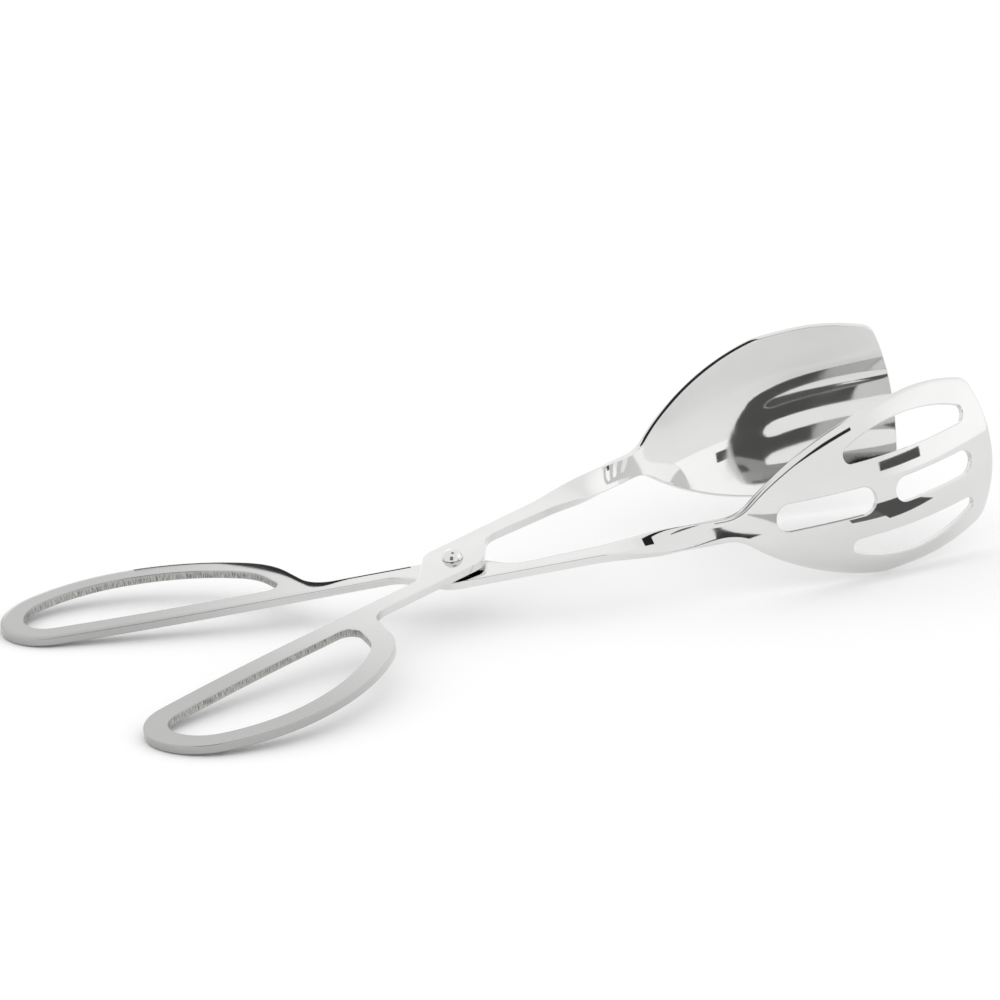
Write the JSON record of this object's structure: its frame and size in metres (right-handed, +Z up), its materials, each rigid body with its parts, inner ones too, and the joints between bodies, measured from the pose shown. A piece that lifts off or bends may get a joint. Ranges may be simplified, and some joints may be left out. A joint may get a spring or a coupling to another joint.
{
  "type": "scissor serving tongs",
  "caption": "Polished steel scissor serving tongs with finger loops, a riveted pivot, a solid cupped blade and a slotted cupped blade.",
  "frame": {"origin": "middle of the bounding box at the table surface that the tongs rest on", "axes": "+X from the finger loops towards the blades along the tongs, +Y towards the lower lever's finger loop side, +Z up"},
  "size_m": [0.2626, 0.1298, 0.0539],
  "materials": {
    "polished_steel": "polished stainless steel, satin on the finger loops",
    "rivet_steel": "polished stainless steel",
    "washer_steel": "plain stainless steel"
  },
  "bodies": {
    "lower_lever": {"lower_lever_slotted_blade": "polished_steel", "pivot_rivet": "rivet_steel", "spacer_washer": "washer_steel"},
    "upper_lever": {"upper_lever_solid_blade": "polished_steel"}
  },
  "joints": [
    {"name": "rivet_hinge", "type": "hinge", "parent": "lower_lever", "child": "upper_lever", "pos_m": [-0.02161, -0.00031, 0.01354], "axis": [-0.112, -0.0328, 0.9932], "range_deg": [-16, 110]}
  ]
}
